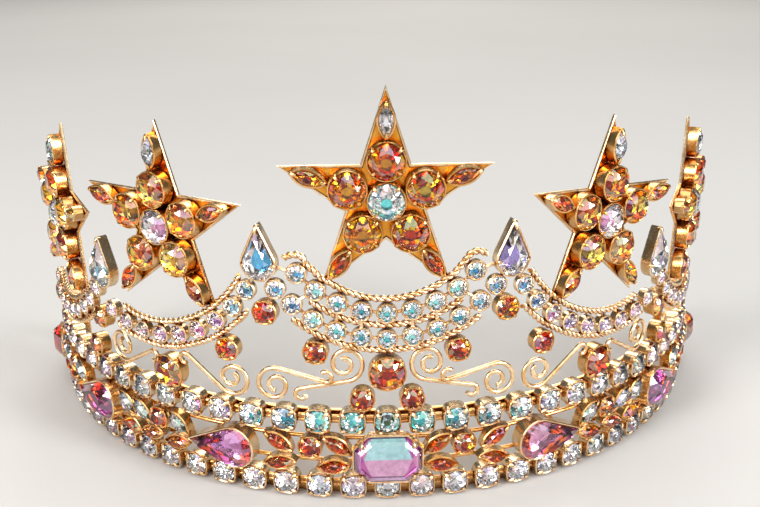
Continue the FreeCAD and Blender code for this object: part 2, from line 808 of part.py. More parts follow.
def check_and_write():
    """Stops on any failed feature or bad shape, and only then writes one file for each node."""
    document.recompute()
    for item in document.Objects:
        if any(word in item.State for word in ("Invalid", "Error")):
            raise ValueError(f"{item.Label} is {item.State}")
    for part in parts:
        if part.Shape.isNull() or not part.Shape.isValid() or not part.Shape.Solids:
            raise ValueError(f"{part.Label} has no valid solid")
    os.makedirs("parts", exist_ok=True)
    for part in parts:
        part.Shape.exportStep(os.path.join("parts", f"{part.Label}.step"))
        print(part.Label, len(part.Shape.Solids), round(part.Shape.Volume, 2))
    print(len(parts), "nodes")


fill_sheet()
band()
small_pair = round_cup("small"), round_stone("small")
star_pair = round_cup("star"), round_stone("star")
leaf_pair = long_pair("leaf", navette, "long", "wide")
gallery(*small_pair, *leaf_pair)
swags()
peaks(*small_pair)
connectors(*small_pair, *star_pair)
stars(*star_pair, *leaf_pair)
ends()
check_and_write()
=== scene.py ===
import math
import random

import bmesh
import bpy
import numpy as np
from mathutils import Matrix, Vector


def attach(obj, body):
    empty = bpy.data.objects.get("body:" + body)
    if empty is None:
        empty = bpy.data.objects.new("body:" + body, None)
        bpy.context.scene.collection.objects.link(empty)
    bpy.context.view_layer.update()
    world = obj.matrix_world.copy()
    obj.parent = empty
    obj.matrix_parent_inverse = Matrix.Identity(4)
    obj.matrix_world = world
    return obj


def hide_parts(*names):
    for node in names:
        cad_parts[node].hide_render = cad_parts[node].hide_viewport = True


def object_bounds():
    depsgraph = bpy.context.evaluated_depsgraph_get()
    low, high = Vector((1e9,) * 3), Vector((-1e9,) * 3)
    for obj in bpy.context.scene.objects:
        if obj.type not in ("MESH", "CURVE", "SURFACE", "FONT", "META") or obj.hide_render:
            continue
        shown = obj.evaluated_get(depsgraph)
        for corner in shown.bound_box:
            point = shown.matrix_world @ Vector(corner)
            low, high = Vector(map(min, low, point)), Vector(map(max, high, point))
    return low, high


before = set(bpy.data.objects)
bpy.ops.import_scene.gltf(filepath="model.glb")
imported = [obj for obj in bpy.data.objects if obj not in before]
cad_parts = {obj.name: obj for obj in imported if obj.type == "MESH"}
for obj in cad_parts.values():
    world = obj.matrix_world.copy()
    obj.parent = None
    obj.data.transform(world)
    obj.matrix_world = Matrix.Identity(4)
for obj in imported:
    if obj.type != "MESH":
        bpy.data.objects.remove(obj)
cad_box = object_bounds()

# A pageant crown in metres: -Y is the front, +Z up.  Every setting is built where its CAD solid
# is: the solid gives the place, the direction it faces and its size.
MM = 0.001
UP = Vector((0, 0, 1))
WHITE = (1.0, 1.0, 1.0)
# Corners nearer than WELD are one corner, and heights nearer than SLIVER are one height.
WELD = 0.002 * MM
SLIVER = 0.01 * MM


# ---------------------------------------------------------------- reading the frame

NEARLY_WIDEST = 0.99
FACES_OUT = 0.9  # cosine of the widest angle from straight out


class Solid:
    """One solid of a CAD node in a frame of its own: +Z out of the crown, +X along its length or
    level, and the origin in the middle of its back."""

    def __init__(self, corners, faces_out, level):
        middle = Vector(corners.mean(axis=0))
        out = faces_out or Vector((middle.x, middle.y, 0)).normalized()
        side = UP.cross(out).normalized()
        if not level:
            offsets = corners - np.array(middle)
            offsets -= np.outer(offsets @ np.array(out), np.array(out))
            side = Vector(offsets[np.argmax(np.linalg.norm(offsets, axis=1))]).normalized()
        top = out.cross(side)
        turn = Matrix((side, top, out)).transposed()
        local = (corners - np.array(middle)) @ np.array(turn)
        low, high = local.min(axis=0), local.max(axis=0)
        shift = Vector(((low[0] + high[0]) / 2, (low[1] + high[1]) / 2, low[2]))
        self.points = local - np.array(shift)
        self.place = Matrix.Translation(middle + turn @ shift) @ turn.to_4x4()
        self.half_long = float(high[0] - low[0]) / 2
        self.half_wide = float(high[1] - low[1]) / 2
        self.depth = float(high[2] - low[2])
        self.centre = self.place.translation
        self.azimuth = math.degrees(math.atan2(self.centre.x, -self.centre.y))

    def rim(self):
        """Height of the widest outline: the top of a stone's girdle."""
        outer = np.abs(self.points[:, 0]) > NEARLY_WIDEST * self.half_long
        return float(self.points[outer, 2].max())

    def bore(self):
        """Radius of the opening of a round cup."""
        top = self.points[self.points[:, 2] > self.depth - SLIVER]
        return float(np.hypot(top[:, 0], top[:, 1]).min())


def solid_labels(mesh, corners):
    """A number for each vertex of a mesh, the same all over one solid."""
    cells = np.round(corners / WELD).astype(np.int64)
    _, welded = np.unique(cells, axis=0, return_inverse=True)
    welded = welded.reshape(-1)
    ends = np.empty(len(mesh.edges) * 2, np.int32)
    mesh.edges.foreach_get("vertices", ends)
    ends = welded[ends].reshape(-1, 2)
    label = np.arange(welded.max() + 1)
    while True:
        before = label.copy()
        low = np.minimum(label[ends[:, 0]], label[ends[:, 1]])
        np.minimum.at(label, ends[:, 0], low)
        np.minimum.at(label, ends[:, 1], low)
        label = label[label]
        if (label == before).all():
            return label[welded]


def node_arrays(node):
    """Corners, the solid of each corner, and each face's first corner, normal and area."""
    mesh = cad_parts[node].data
    corners = np.empty(len(mesh.vertices) * 3)
    mesh.vertices.foreach_get("co", corners)
    corners = corners.reshape(-1, 3)
    first = np.array([face.vertices[0] for face in mesh.polygons])
    normals = np.array([face.normal for face in mesh.polygons])
    areas = np.array([face.area for face in mesh.polygons])
    return corners, solid_labels(mesh, corners), first, normals, areas


def facing(middle, normals, areas):
    """The outward direction of the largest flat area that looks out of the crown."""
    radial = np.array((middle[0], middle[1], 0.0))
    radial /= np.linalg.norm(radial)
    outward = normals @ radial > FACES_OUT
    keys, which = np.unique(np.round(normals[outward], 2), axis=0, return_inverse=True)
    which = which.reshape(-1)
    share = np.bincount(which, weights=areas[outward], minlength=len(keys))
    chosen = which == share.argmax()
    total = (normals[outward][chosen] * areas[outward][chosen, None]).sum(axis=0)
    return Vector(total).normalized()


def solids(node, level=True, radial=False):
    """The solids of a CAD node, from -X to +X.  They face as their largest flat does, or with
    radial straight out of the crown.  With level their +X is level, else along their length."""
    corners, labels, first, normals, areas = node_arrays(node)
    found = []
    for label in np.unique(labels):
        own = corners[labels == label]
        faces = labels[first] == label
        out = None if radial else facing(own.mean(axis=0), normals[faces], areas[faces])
        found.append(Solid(own, out, level))
    return sorted(found, key=lambda solid: (round(solid.azimuth, 1), solid.centre.z))


# ---------------------------------------------------------------- gathering faces into pieces

FLAT_ANGLE, SHARP_ANGLE, BEVEL_ANGLE = (math.radians(degrees) for degrees in (1, 35, 50))


class Piece:
    """The faces of one visual piece, gathered part by part and made into a mesh at the end."""

    def __init__(self, materials):
        self.materials = materials
        self.corners, self.faces, self.numbers, self.tints, self.smooth = [], [], [], [], []

    def add(self, place, corners, faces, number=0, tints=None, smooth=True):
        start = len(self.corners)
        self.corners += [place @ Vector(corner) for corner in corners]
        self.faces += [[start + index for index in face] for face in faces]
        self.numbers += [number] * len(faces) if isinstance(number, int) else number
        self.tints += tints or [WHITE] * len(faces)
        self.smooth += [smooth] * len(faces)

    def finish(self, name, node, slot, sharp=40):
        mesh = bpy.data.meshes.new(name)
        mesh.from_pydata(self.corners, [], self.faces)
        mesh.polygons.foreach_set("material_index", self.numbers)
        mesh.polygons.foreach_set("use_smooth", self.smooth)
        colours = mesh.attributes.new("tint", "FLOAT_COLOR", "CORNER")
        values = [(*tint, 1.0) for face, tint in zip(self.faces, self.tints) for _ in face]
        colours.data.foreach_set("color", np.array(values, np.float32).reshape(-1))
        mesh.update()
        mesh.set_sharp_from_angle(angle=math.radians(sharp))
        for material in self.materials:
            mesh.materials.append(material)
        return place_piece(bpy.data.objects.new(name, mesh), node)


def place_piece(piece, node):
    bpy.context.scene.collection.objects.link(piece)
    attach(piece, "root")
    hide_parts(node)
    return piece


def carried(node, name, material, bevel):
    """A gold piece with the CAD solid's own shape, its edges rounded unless bevel is 0."""
    form = bmesh.new()
    form.from_mesh(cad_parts[node].data)
    bmesh.ops.remove_doubles(form, verts=form.verts, dist=WELD)
    bmesh.ops.dissolve_limit(form, angle_limit=FLAT_ANGLE, verts=form.verts, edges=form.edges)
    mesh = bpy.data.meshes.new(name)
    form.to_mesh(mesh)
    form.free()
    mesh.materials.append(material)
    mesh.shade_smooth()
    mesh.set_sharp_from_angle(angle=SHARP_ANGLE)
    piece = bpy.data.objects.new(name, mesh)
    if bevel:
        rounding = piece.modifiers.new("rounded_edges", "BEVEL")
        rounding.width = bevel
        rounding.segments = 2
        rounding.limit_method = "ANGLE"
        rounding.angle_limit = BEVEL_ANGLE
    return place_piece(piece, node)


# ---------------------------------------------------------------- outlines

MITRE_LIMIT = 0.6


def round_outline(half_long, half_wide, count):
    angles = [2 * math.pi * index / count for index in range(count)]
    return [Vector((half_long * math.cos(a), half_wide * math.sin(a))) for a in angles]


def box_outline(half_long, half_wide, count, power=2.7):
    """A round outline with fuller corners, as a cup pressed from a square blank has."""
    outline = []
    for index in range(count):
        angle = 2 * math.pi * index / count
        c, s = math.cos(angle), math.sin(angle)
        reach = (abs(c) ** power + abs(s) ** power) ** (-1 / power)
        outline.append(Vector((half_long * reach * c, half_wide * reach * s)))
    return outline


def pear_outline(half_long, half_wide, count):
    """The point is the first corner, at +X; the round end is at -X."""
    middle = half_wide - half_long
    reach = 2 * half_long - half_wide
    swing = math.acos(half_wide / reach)
    straight = count // 5
    touch = Vector((middle + half_wide * math.cos(swing), half_wide * math.sin(swing)))
    tip = Vector((half_long, 0))
    upper = [tip.lerp(touch, index / straight) for index in range(straight)]
    steps = count - 2 * straight
    turn = [swing + (2 * math.pi - 2 * swing) * index / steps for index in range(steps + 1)]
    curve = [Vector((middle + half_wide * math.cos(a), half_wide * math.sin(a))) for a in turn]
    lower = [Vector((corner.x, -corner.y)) for corner in reversed(upper[1:])]
    return upper + curve + lower


def navette_outline(half_long, half_wide, count):
    """Two arcs that meet in points, the first corner at +X."""
    radius = (half_long**2 + half_wide**2) / (2 * half_wide)
    swing = math.asin(half_long / radius)
    half = count // 2
    upper = []
    for index in range(half):
        angle = swing - 2 * swing * index / half
        upper.append(Vector((radius * math.sin(angle), radius * math.cos(angle) - radius + half_wide)))
    return upper + [-corner for corner in upper]


def octagon_outline(half_long, half_wide, cut):
    near_x, near_y = half_long - cut, half_wide - cut
    corners = [(half_long, near_y), (near_x, half_wide), (-near_x, half_wide), (-half_long, near_y)]
    return [Vector(corner) for corner in corners] + [-Vector(corner) for corner in corners]


def edge_normals(outline):
    """The outward direction at each corner of an outline, long enough to move both its edges."""
    result = []
    for index, corner in enumerate(outline):
        before = (corner - outline[index - 1]).normalized()
        after = (outline[(index + 1) % len(outline)] - corner).normalized()
        first, second = Vector((before.y, -before.x)), Vector((after.y, -after.x))
        direction = (first + second).normalized()
        result.append(direction / max(direction.dot(first), MITRE_LIMIT))
    return result


def ring(outline, normals, growth, height):
    return [(c.x + growth * n.x, c.y + growth * n.y, height) for c, n in zip(outline, normals)]


def wall(outline, profile):
    """Faces of a wall around an outline; the profile is a list of (growth, height).  The back is
    closed by one face."""
    normals = edge_normals(outline)
    count = len(outline)
    corners = []
    for growth, height in profile:
        corners += ring(outline, normals, growth, height)
    faces = [list(range(count - 1, -1, -1))]
    for level in range(len(profile) - 1):
        base = level * count
        for index in range(count):
            following = (index + 1) % count
            lower = [base + index, base + following]
            faces.append(lower + [base + count + following, base + count + index])
    return corners, faces


# ---------------------------------------------------------------- wires

LINE_ROUNDS = 5
RUN_ON = 9.0  # in lengths of the first or last edge


def sweep(path, widths, sides=8, flats=None, across=None):
    """Faces of a wire through the points of a path.  widths are its radii; flats, if given, are
    the radii in the other direction, and across is the direction of widths."""
    flats = flats or widths
    corners, faces = [], []
    normal = across or Vector((0, 0, 1))
    last = len(path) - 1
    for index, point in enumerate(path):
        tangent = (path[min(index + 1, last)] - path[max(index - 1, 0)]).normalized()
        normal = (normal - tangent * normal.dot(tangent)).normalized()
        binormal = tangent.cross(normal)
        for side in range(sides):
            angle = 2 * math.pi * side / sides
            reach = normal * (widths[index] * math.cos(angle))
            corners.append(point + reach + binormal * (flats[index] * math.sin(angle)))
    for index in range(last):
        base = index * sides
        for side in range(sides):
            following = (side + 1) % sides
            lower = [base + side, base + following]
            faces.append(lower + [base + sides + following, base + sides + side])
    faces.append(list(range(sides - 1, -1, -1)))
    faces.append([last * sides + side for side in range(sides)])
    return corners, faces


def centre_line(solid, spacing):
    """The middle line of a bent wire from the corners of its surface: corners are averaged over
    short lengths, first along the wall and then along the line that this gives."""
    points = np.array([solid.place @ Vector(point) for point in solid.points])
    azimuths = np.arctan2(points[:, 0], -points[:, 1])
    reach = np.hypot(points[:, 0], points[:, 1]).mean()
    parameter = azimuths * reach
    for _ in range(LINE_ROUNDS):
        count = max(4, int((parameter.max() - parameter.min()) / spacing))
        edges = np.linspace(parameter.min(), parameter.max(), count + 1)
        which = np.clip(np.searchsorted(edges, parameter) - 1, 0, count - 1)
        line = np.array([points[which == number].mean(axis=0) for number in np.unique(which)])
        steps = np.linalg.norm(np.diff(line, axis=0), axis=1)
        lengths = np.concatenate([[0], np.cumsum(steps)])
        parameter = nearest_length(points, line, lengths)
    return [Vector(point) for point in line]


def nearest_length(points, line, lengths):
    """Length along a polyline of the place nearest to each point; the ends run on."""
    best = np.full(len(points), np.inf)
    result = np.zeros(len(points))
    last = len(line) - 2
    for number in range(last + 1):
        edge = line[number + 1] - line[number]
        share = (points - line[number]) @ edge / (edge @ edge)
        low = -RUN_ON if number == 0 else 0.0
        high = RUN_ON if number == last else 1.0
        share = np.clip(share, low, high)
        gap = np.linalg.norm(points - line[number] - share[:, None] * edge, axis=1)
        closer = gap < best
        best[closer] = gap[closer]
        result[closer] = (lengths[number] + share * np.linalg.norm(edge))[closer]
    return result


def smooth_path(points, spacing):
    """The same path through evenly spaced points of a smooth curve."""
    points = [Vector(point) for point in points]
    longer = [2 * points[0] - points[1]] + points + [2 * points[-1] - points[-2]]
    fine = []
    for index in range(1, len(longer) - 2):
        a, b, c, d = longer[index - 1 : index + 3]
        steps = max(2, int((c - b).length / spacing) + 1)
        for step in range(steps):
            t = step / steps
            bend = (2 * a - 5 * b + 4 * c - d) * t * t + (3 * b - a - 3 * c + d) * t**3
            fine.append((2 * b + (c - a) * t + bend) / 2)
    return fine + [points[-1]]


def strand(path, offset, pitch, phase):
    """One strand of a twisted rope: a helix about the path."""
    result = []
    normal = UP
    length = 0.0
    last = len(path) - 1
    for index, point in enumerate(path):
        tangent = (path[min(index + 1, last)] - path[max(index - 1, 0)]).normalized()
        normal = (normal - tangent * normal.dot(tangent)).normalized()
        binormal = tangent.cross(normal)
        length += (point - path[max(index - 1, 0)]).length
        angle = 2 * math.pi * length / pitch + phase
        result.append(point + offset * (normal * math.cos(angle) + binormal * math.sin(angle)))
    return result


# ---------------------------------------------------------------- materials

# Waves to the metre: of gold's colour, roughness and bump, then of foil, glass and the floor.
DRIFT_WAVES, WEAR_WAVES, GRAIN_WAVES = 420.0, 1500.0, 2600.0
SPECK_WAVES, CLOUD_WAVES, FLOOR_WAVES = 900.0, 700.0, 3.0
GRAIN_DEPTH = 0.012 * MM
# How far the occlusion reaches that paints shade into the gold's hollows.
PAINTED_SHADE_REACH = 1.3 * MM
FILM_THICKNESSES = (150, 290, 390, 480)  # in nanometres
FILM_MIRROR = 0.16


class Tree:
    """A material's nodes, with one Principled shader that ends in the output."""

    def __init__(self, name):
        self.material = bpy.data.materials.new(name)
        self.material.use_nodes = True
        self.nodes = self.material.node_tree.nodes
        self.links = self.material.node_tree.links
        self.shader = next(n for n in self.nodes if n.type == "BSDF_PRINCIPLED")

    def set(self, **values):
        for name, value in values.items():
            self.shader.inputs[name.replace("_", " ")].default_value = value

    def node(self, kind, **settings):
        made = self.nodes.new(kind)
        for name, value in settings.items():
            setattr(made, name, value)
        return made

    def noise(self, scale, detail=3.0):
        """A noise value over the crown, with about so many waves to the metre."""
        place = self.node("ShaderNodeTexCoord")
        noise = self.node("ShaderNodeTexNoise")
        noise.inputs["Scale"].default_value = scale
        noise.inputs["Detail"].default_value = detail
        self.links.new(place.outputs["Object"], noise.inputs["Vector"])
        return noise.outputs["Fac"]

    def ramp(self, value, stops):
        ramp = self.node("ShaderNodeValToRGB")
        elements = ramp.color_ramp.elements
        while len(elements) < len(stops):
            elements.new(0.5)
        for element, (position, colour) in zip(elements, stops):
            element.position = position
            element.color = (*colour, 1.0)
        self.links.new(value, ramp.inputs["Fac"])
        return ramp.outputs["Color"]

    def multiply(self, first, second):
        mix = self.node("ShaderNodeMix", data_type="RGBA", blend_type="MULTIPLY")
        factor, colours = mix.inputs[0], mix.inputs[6:8]
        factor.default_value = 1.0
        for value, socket in zip((first, second), colours):
            self.links.new(value, socket)
        return mix.outputs[2]

    def colour(self, value):
        self.links.new(value, self.shader.inputs["Base Color"])

    def face_tints(self, waves, grey):
        """Gives each face its own tint, which a noise dims as far as a grey."""
        tint = self.node("ShaderNodeAttribute", attribute_name="tint")
        cloud = self.ramp(self.noise(waves), [(0.3, (grey, grey, grey)), (0.7, WHITE)])
        self.colour(self.multiply(tint.outputs["Color"], cloud))

    def roughness(self, value, low, high):
        spread = self.node("ShaderNodeMapRange")
        spread.inputs["To Min"].default_value = low
        spread.inputs["To Max"].default_value = high
        self.links.new(value, spread.inputs["Value"])
        self.links.new(spread.outputs["Result"], self.shader.inputs["Roughness"])

    def bump(self, value, depth):
        bump = self.node("ShaderNodeBump")
        bump.inputs["Strength"].default_value = 1.0
        bump.inputs["Distance"].default_value = depth
        self.links.new(value, bump.inputs["Height"])
        self.links.new(bump.outputs["Normal"], self.shader.inputs["Normal"])


def gold(name, bright, deep, painted_shade, low=0.16, high=0.34):
    """Plated gold: the colour drifts a little, goes brown where pieces meet and in hollows (a painted
    shade, from occlusion), and the surface has the fine unevenness of cast and soldered metal."""
    tree = Tree(name)
    drift = tree.ramp(tree.noise(DRIFT_WAVES), [(0.35, deep), (0.62, bright)])
    # Painted shade: occlusion darkens the colour towards the third colour wherever other surfaces are
    # near.
    occlusion = tree.node("ShaderNodeAmbientOcclusion", samples=2)
    occlusion.inputs["Distance"].default_value = PAINTED_SHADE_REACH
    shade = tree.ramp(occlusion.outputs["AO"], [(0.25, painted_shade), (0.75, WHITE)])
    tree.colour(tree.multiply(drift, shade))
    tree.roughness(tree.noise(WEAR_WAVES), low, high)
    tree.bump(tree.noise(GRAIN_WAVES, detail=2.0), GRAIN_DEPTH)
    tree.set(Metallic=1.0)
    return tree.material


def foil(name):
    """The mirrored back facets of a stone, each with its own tint, which on warm stones also paints
    flashes and dark reflections.
    """
    tree = Tree(name)
    tree.face_tints(SPECK_WAVES, grey=0.72)
    tree.set(Metallic=1.0, Roughness=0.12)
    return tree.material


def crown_glass(name, film, mirror):
    """The clear facets of a stone's front, each with its own tint, under an iridescent film of
    the given thickness in nanometres, which mirrors a share of the light."""
    tree = Tree(name)
    tree.face_tints(CLOUD_WAVES, grey=0.93)
    tree.set(Transmission_Weight=1.0, Roughness=0.015, IOR=1.55, Metallic=mirror)
    tree.set(Thin_Film_Thickness=film, Thin_Film_IOR=1.9)
    return tree.material


# Each gold: a bright and a deep colour, then the dark brown of the shade painted into its hollows.
GOLD = gold("gold_plate", (0.92, 0.58, 0.25), (0.66, 0.34, 0.09), (0.32, 0.1, 0.03))
# A paler, cream copy of the gold for cups, claws, bars, rims, ropes and scrolls: a painted highlight.
HIGHLIGHT_GOLD = gold("highlight_gold", (1.0, 0.78, 0.5), (0.8, 0.5, 0.22), (0.34, 0.12, 0.04))
STAR_GOLD = gold(
    "amber_gold", (0.84, 0.41, 0.06), (0.72, 0.32, 0.035), (0.4, 0.11, 0.02), low=0.14, high=0.24
)
FOIL = foil("stone_foil")
BARE = crown_glass("bare_glass", film=0.0, mirror=0.0)
FILMS = [crown_glass(f"coated_glass_{film}", film, FILM_MIRROR) for film in FILM_THICKNESSES]

# The materials of stones and of settings, and the numbers that faces know them by.
STONE = [FOIL, BARE, *FILMS]
FOIL_NUMBER, BARE_NUMBER = 0, 1
FILM_NUMBERS = range(2, len(STONE))
# Settings take the gold and its paler copy, which paints highlights.
SETTING = [GOLD, HIGHLIGHT_GOLD]
GOLD_NUMBER, HIGHLIGHT_NUMBER = 0, 1


# ---------------------------------------------------------------- stones

# Palettes.  A stone has three: of the flat at its back, of the other back facets and of the clear
# front.  On the back facets of the warm stones, the bright FIRE tints and the dark EMBER and GARNET
# tints are mixed at random: painted flashes and painted dark reflections over the stones' own amber.
AQUA = [(0.06, 0.62, 0.68), (0.16, 0.82, 0.84), (0.04, 0.42, 0.55), (0.35, 0.92, 0.9)]
BLUE = [(0.05, 0.3, 0.62), (0.12, 0.5, 0.85), (0.3, 0.72, 0.95), (0.04, 0.2, 0.42)]
LILAC = [(0.5, 0.26, 0.7), (0.72, 0.45, 0.85), (0.8, 0.2, 0.55), (0.38, 0.3, 0.68)]
ROSE = [(0.8, 0.12, 0.42), (0.62, 0.1, 0.5), (0.9, 0.38, 0.66), (0.72, 0.3, 0.8)]
SILVER = [(1.0, 1.0, 1.0), (0.95, 0.97, 1.0), (1.0, 0.98, 1.0), (0.86, 0.9, 0.94), (1.0, 0.97, 0.9)]
BLUSH = [(1.0, 0.96, 0.97), (0.98, 0.82, 0.9), (1.0, 1.0, 1.0), (0.88, 0.76, 0.86), (1.0, 0.94, 0.87)]
GARNET = [(0.42, 0.015, 0.005), (0.55, 0.03, 0.005), (0.3, 0.01, 0.01), (0.5, 0.06, 0.005)]
OLIVE = [(0.36, 0.27, 0.03), (0.5, 0.38, 0.06), (0.6, 0.28, 0.02), (0.65, 0.34, 0.03)]
FIRE = [(1.0, 0.76, 0.08), (1.0, 0.9, 0.22), (1.0, 0.6, 0.04), (0.95, 0.34, 0.01), (1.0, 0.94, 0.4)]
EMBER = [(1.0, 0.3, 0.01), (0.9, 0.12, 0.005), (1.0, 0.48, 0.04), (0.7, 0.05, 0.0)]
CLEAR = [(1.0, 1.0, 1.0), (0.95, 0.91, 1.0), (1.0, 0.97, 0.9), (0.92, 1.0, 0.98)]
AMBER = [(1.0, 0.86, 0.56), (1.0, 0.92, 0.84), (1.0, 0.8, 0.46), (0.96, 0.86, 0.94)]
PINK = [(1.0, 0.8, 0.87), (0.98, 0.74, 0.86), (1.0, 0.88, 0.92)]
PETAL = [(1.0, 0.42, 0.66), (0.92, 0.3, 0.74), (1.0, 0.6, 0.8), (0.8, 0.42, 0.9)]

COATED_SHARE = 0.7
STONE_CORNERS = 16
GIRDLE = 0.12 * MM
SINK = 0.2
FRONT_BEND_RISE = 0.6
BACK_BEND_RISE = 0.45
BACK_FULLNESS = 0.04


def facets(count):
    """The facets of a stone on an outline of count corners.  Corners run ring by ring: table,
    front bends, girdle top, girdle foot, back bends, and the edge of the flat back end."""
    half = count // 2
    table, bends, top, foot = 0, half, 2 * half, 2 * half + count
    back, inner = foot + count, foot + count + half
    faces = [list(range(table, table + half)), list(range(inner + half - 1, inner - 1, -1))]
    kinds = ["table", "middle"]
    for k in range(half):
        n, main, side = (k + 1) % half, 2 * k, 2 * k + 1
        far = (side + 1) % count
        group = [
            ([table + k, bends + k, table + n], "star"),
            ([table + k, bends + k - 1 if k else bends + half - 1, top + main, bends + k], "main"),
            ([bends + k, top + main, top + side], "edge"),
            ([bends + k, top + side, top + far], "edge"),
            ([top + main, foot + main, foot + side, top + side], "girdle"),
            ([top + side, foot + side, foot + far, top + far], "girdle"),
            ([foot + main, back + k, foot + side], "outer"),
            ([foot + side, back + k, foot + far], "outer"),
            ([foot + main, back + k - 1 if k else back + half - 1, inner + k, back + k], "outer"),
            ([back + k, inner + k, inner + n], "outer"),
        ]
        for face, kind in group:
            faces.append(face)
            kinds.append(kind)
    return faces, kinds


def stone_corners(outline, table, flat, sink, rim, top):
    """Corners of a faceted stone in the order that facets() needs.  table and flat are the shares
    of the outline that the flats of the front and the back take up.  The front bends lie halfway
    from the table to the edge, and sink moves the flat at the back away from the middle."""
    bend, back = 0.5 * (1 + table), 0.5 * (1 + flat) + BACK_FULLNESS
    mains, sides = outline[0::2], outline[1::2]
    height = top - rim
    foot = rim - GIRDLE
    corners = [(c.x * table, c.y * table, top) for c in mains]
    corners += [(c.x * bend, c.y * bend, rim + FRONT_BEND_RISE * height) for c in sides]
    corners += [(c.x, c.y, rim) for c in outline]
    corners += [(c.x, c.y, foot) for c in outline]
    corners += [(c.x * back, c.y * back, BACK_BEND_RISE * foot) for c in sides]
    corners += [(c.x * flat + sink.x, c.y * flat + sink.y, 0.0) for c in mains]
    return corners


def add_stone(piece, solid, outline, tints, dice, table=0.56, flat=0.33):
    """Adds one faceted stone.  tints holds the palettes of the flat at the back, which lies a
    little low, of the back facets around it, and of the clear front, where a share of the facets
    is iridescent."""
    middle, outer, front = tints
    faces, kinds = facets(len(outline))
    sink = SINK * solid.half_wide * (solid.place.to_3x3().transposed() @ -UP)
    corners = stone_corners(outline, table, flat, sink, solid.rim(), solid.depth)
    film = dice.choice(FILM_NUMBERS)
    numbers, colours = [], []
    for kind in kinds:
        clear = kind in ("table", "star", "main", "edge")
        coated = kind != "table" and dice.random() < COATED_SHARE
        numbers.append((film if coated else BARE_NUMBER) if clear else FOIL_NUMBER)
        if clear:
            colours.append(front[0] if kind == "table" else dice.choice(front))
        else:
            colours.append(dice.choice(middle if kind == "middle" else outer))
    piece.add(solid.place, corners, faces, numbers, colours, smooth=False)


# ---------------------------------------------------------------- cups

# The wall of the cups of pears, navettes and the octagon, and its share at a pointed end.
WALL, TIP_SHARE = 0.35 * MM, 1.6
# A claw from its foot on the side of a cup to its tip: how far outwards, how far up, how wide and
# how thick it is there, as shares of its size.  The way in is a share of its reach instead.
CLAW_STEPS = (
    (0.2, -0.75, 1.1, 1.0),
    (0.27, -0.1, 1.0, 1.0),
    (0.12, 0.22, 0.9, 1.0),
    (-0.45, 0.5, 0.7, 1.0),
    (-1.0, 0.62, 0.4, 0.6),
)
CLAW_HALF_WIDE, CLAW_HALF_THICK = 0.5, 0.26


def cup_profile(height, thick):
    """The wall of a cup: a rounded back edge, a straight side, a rolled rim and the inside."""
    return [
        (-0.35 * MM, 0.0),
        (thick - 0.12 * MM, 0.06 * MM),
        (thick, 0.3 * MM),
        (thick, height - 0.28 * MM),
        (thick + 0.05 * MM, height - 0.12 * MM),
        (thick * 0.8, height + 0.02 * MM),
        (thick * 0.3, height + 0.04 * MM),
        (-0.03 * MM, height - 0.05 * MM),
        (-0.08 * MM, height - 0.5 * MM),
    ]


def add_cup(piece, solid, outline, thick, number):
    corners, faces = wall(outline, cup_profile(solid.depth, thick))
    piece.add(solid.place, corners, faces, number)


def add_claw(piece, solid, foot, out, size, reach, number=0):
    """A claw from the outside of a cup, over its rim and onto the stone.  foot is the place on
    the rim, out its outward direction, and reach how far in it lies, in millimetres."""
    side = Vector((-out.y, out.x, 0))
    path, widths, flats = [], [], []
    for outwards, up, wide, thick in CLAW_STEPS:
        shift = outwards * (reach * MM if outwards < 0 else size)
        height = solid.depth + up * size
        path.append(Vector((foot.x + out.x * shift, foot.y + out.y * shift, height)))
        widths.append(CLAW_HALF_WIDE * size * wide)
        flats.append(CLAW_HALF_THICK * size * thick)
    corners, faces = sweep(path, widths, flats=flats, across=side)
    piece.add(solid.place, corners, faces, number)


# ---------------------------------------------------------------- settings on the wall

CLAW_CORNERS = (45, 135, 225, 315)
# Cups closer than these are joined by a bar, which starts and ends a little inside them.
SWAG_NEIGHBOUR = 5.3 * MM
PEAR_NEIGHBOUR = 1.6 * MM
BAR_HOLD = 0.2 * MM
BAR_LIFT = 0.6
# Radii of a bar at shares of its length.
BAR_RADII = ((0, 0.42 * MM), (0.25, 0.36 * MM), (0.5, 0.3 * MM), (0.75, 0.36 * MM), (1, 0.42 * MM))
# The two ridges of a link and the web between them: place across it, width and height.
LINK_RIDGES = ((-1, 1.0, 0.5), (1, 1.0, 0.5), (0, 0.8, 0.36))
LINK_STATIONS = (-1.05, -0.5, 0.0, 0.5, 1.05)
UPRIGHT = 0.97  # cosine of the widest angle from upright


def pair(cup_node, stone_node):
    return list(zip(solids(cup_node), solids(stone_node)))


def rim_spot(outline, angle):
    """The corner of an outline nearest to a direction in degrees, and its outward direction."""
    normals = edge_normals(outline)
    aim = Vector((math.cos(math.radians(angle)), math.sin(math.radians(angle))))
    index = max(range(len(outline)), key=lambda number: outline[number].normalized().dot(aim))
    return outline[index], normals[index]


def add_claws(piece, solid, outline, angles, number, size, reach):
    for angle in angles:
        foot, out = rim_spot(outline, angle)
        add_claw(piece, solid, foot, out, size, reach, number)


def chain_tints(azimuth):
    """The middles of the chain stones are aqua in front, then lilac, and rose to the sides: a painted
    reflection, the coating's colour at each stone's angle to the front.
    """
    turn = abs(azimuth)
    if turn < 22:
        return AQUA, SILVER, CLEAR
    return (LILAC, SILVER, CLEAR) if turn < 48 else (ROSE, BLUSH, PINK + CLEAR)


def lower_tints(azimuth):
    return BLUSH + SILVER, SILVER, CLEAR + PINK[:1]


# Swag middles by place round the crown, aqua in front, then blue, then rose and lilac: painted
# reflection of the coating at each angle.
def swag_tints(azimuth):
    turn = abs(azimuth)
    if turn < 11:
        return AQUA, SILVER, CLEAR
    return (BLUE, SILVER, CLEAR) if turn < 23 else (ROSE + LILAC, BLUSH, PINK + CLEAR)


